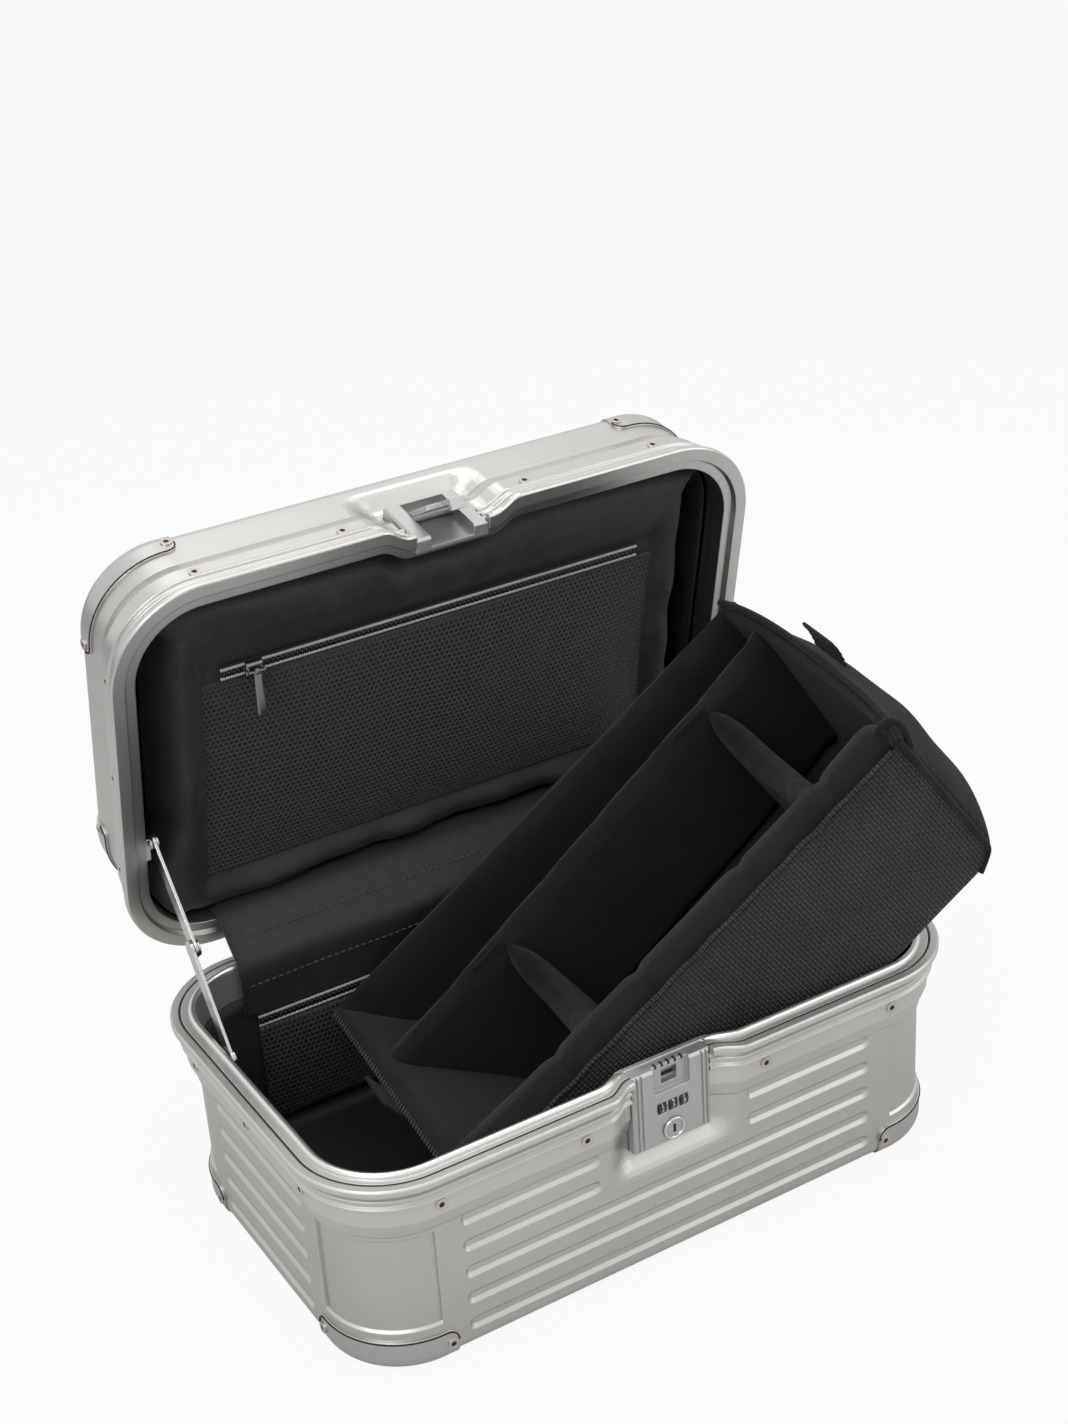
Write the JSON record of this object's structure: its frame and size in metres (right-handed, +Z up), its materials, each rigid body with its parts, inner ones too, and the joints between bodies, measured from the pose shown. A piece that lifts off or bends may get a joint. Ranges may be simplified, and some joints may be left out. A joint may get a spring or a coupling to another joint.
{
  "type": "aluminium vanity case",
  "caption": "Grooved aluminium vanity case standing open, with a combination lock, draw latch, lid stay, lined lid with a mesh pocket and a padded divider tray.",
  "frame": {"origin": "centre of the underside, on the floor", "axes": "+Z up, the lock faces -Y, +X to the right along the front, hinges along +Y"},
  "size_m": [0.3955, 0.2829, 0.3439],
  "materials": {
    "pressed_aluminium": "satin brushed",
    "frame_aluminium": "satin",
    "rivet_steel": "satin",
    "lock_zinc": "satin",
    "bright_steel": "polished",
    "dial_plastic": "matt",
    "gunmetal": "satin",
    "seal_rubber": "matt",
    "lining_fabric": "woven",
    "mesh_fabric": "perforated",
    "zip_tape": "woven",
    "insert_fabric": "woven",
    "grip_plastic": "matt"
  },
  "bodies": {
    "base": {"base_cap_back_left": "pressed_aluminium", "base_cap_back_right": "pressed_aluminium", "base_cap_front_left": "pressed_aluminium", "base_cap_front_right": "pressed_aluminium", "base_cap_rivets": "rivet_steel", "base_frame": "frame_aluminium", "base_frame_rivets": "rivet_steel", "base_lining": "lining_fabric", "base_pocket": "mesh_fabric", "base_pocket_zip": "zip_tape", "base_shell": "pressed_aluminium", "dial_axle": "rivet_steel", "hinge_base_leaves": "lock_zinc", "hinge_flap": "lining_fabric", "hinge_pins": "rivet_steel", "lock_body": "lock_zinc", "lock_catch": "lock_zinc", "rim_seal": "seal_rubber", "stay_base_bracket": "bright_steel"},
    "lid": {"lid_cap_back_left": "pressed_aluminium", "lid_cap_back_right": "pressed_aluminium", "lid_cap_front_left": "pressed_aluminium", "lid_cap_front_right": "pressed_aluminium", "lid_cap_rivets": "rivet_steel", "lid_frame": "frame_aluminium", "lid_frame_rivets": "rivet_steel", "lid_lining": "lining_fabric", "lid_mesh_pocket": "mesh_fabric", "lid_panel": "lining_fabric", "lid_shell": "pressed_aluminium", "lid_zip": "zip_tape", "latch_housing": "lock_zinc", "latch_pin": "rivet_steel", "hinge_lid_leaves": "lock_zinc", "stay_lid_bracket": "bright_steel", "handle_brackets": "lock_zinc"},
    "insert": {"insert_back": "insert_fabric", "insert_cross_divider_left": "insert_fabric", "insert_cross_divider_right": "insert_fabric", "insert_floor": "insert_fabric", "insert_front": "insert_fabric", "insert_front_pad": "insert_fabric", "insert_left_end": "insert_fabric", "insert_long_divider": "insert_fabric", "insert_pull_tabs": "insert_fabric", "insert_right_end": "insert_fabric"},
    "latch_lever": {"latch_lever": "lock_zinc"},
    "number_dial_1": {"number_dial_1": "dial_plastic"},
    "number_dial_2": {"number_dial_2": "dial_plastic"},
    "number_dial_3": {"number_dial_3": "dial_plastic"},
    "key_cylinder": {"key_cylinder": "lock_zinc"},
    "zip_slider": {"zip_slider": "gunmetal"},
    "zip_puller": {"zip_puller": "gunmetal"},
    "handle_grip": {"handle_grip": "grip_plastic"},
    "stay_upper_link": {"stay_upper_link": "bright_steel"},
    "stay_lower_link": {"stay_lower_link": "bright_steel"}
  },
  "joints": [
    {"name": "lid_hinge", "type": "hinge", "parent": "base", "child": "lid", "pos_m": [0, 0.1174, 0.1115], "axis": [1, 0, 0], "range_deg": [0, 78], "deforming": ["hinge_flap", "insert_back", "insert_cross_divider_left", "insert_cross_divider_right", "insert_floor", "insert_front", "insert_front_pad", "insert_left_end", "insert_long_divider", "insert_pull_tabs", "insert_right_end"]},
    {"name": "stay_upper_swing", "type": "hinge", "parent": "lid", "child": "stay_upper_link", "pos_m": [-0.162, 0.10753, 0.1916], "axis": [1, 0, 0], "range_deg": [-119.5, 0]},
    {"name": "stay_lower_swing", "type": "hinge", "parent": "stay_upper_link", "child": "stay_lower_link", "pos_m": [-0.162, 0.07043, 0.14954], "axis": [1, 0, 0], "range_deg": [0, 160.9]},
    {"name": "latch_swing", "type": "hinge", "parent": "lid", "child": "latch_lever", "pos_m": [0, 0.09619, 0.3267], "axis": [1, 0, 0], "range_deg": [0, 38]},
    {"name": "dial_turn_1", "type": "hinge", "parent": "base", "child": "number_dial_1", "pos_m": [-0.0062, -0.097, 0.0883], "axis": [1, 0, 0], "continuous": true},
    {"name": "dial_turn_2", "type": "hinge", "parent": "base", "child": "number_dial_2", "pos_m": [0, -0.097, 0.0883], "axis": [1, 0, 0], "continuous": true},
    {"name": "dial_turn_3", "type": "hinge", "parent": "base", "child": "number_dial_3", "pos_m": [0.0062, -0.097, 0.0883], "axis": [1, 0, 0], "continuous": true},
    {"name": "key_turn", "type": "hinge", "parent": "base", "child": "key_cylinder", "pos_m": [0, -0.1, 0.0747], "axis": [0, 1, 0], "range_deg": [0, 90]},
    {"name": "zip_slide", "type": "slide", "parent": "lid", "child": "zip_slider", "axis": [1, 0, 0], "range_m": [0, 0.216]},
    {"name": "zip_pull", "type": "hinge", "parent": "zip_slider", "child": "zip_puller", "pos_m": [-0.103, 0.09016, 0.27378], "axis": [1, 0, 0], "range_deg": [-80, 15]},
    {"name": "handle_swing", "type": "hinge", "parent": "lid", "child": "handle_grip", "pos_m": [0, 0.15827, 0.2535], "axis": [1, 0, 0], "range_deg": [0, 90]},
    {"name": "insert_lift", "type": "slide", "parent": "base", "child": "insert", "axis": [-0.7943, 0.1045, -0.5985], "range_m": [-0.18, 0]}
  ],
  "couplings": [
    {"joint": "stay_upper_swing", "follows": "lid_hinge", "ratio": -1.5309},
    {"joint": "stay_lower_swing", "follows": "lid_hinge", "ratio": 2.0618}
  ]
}
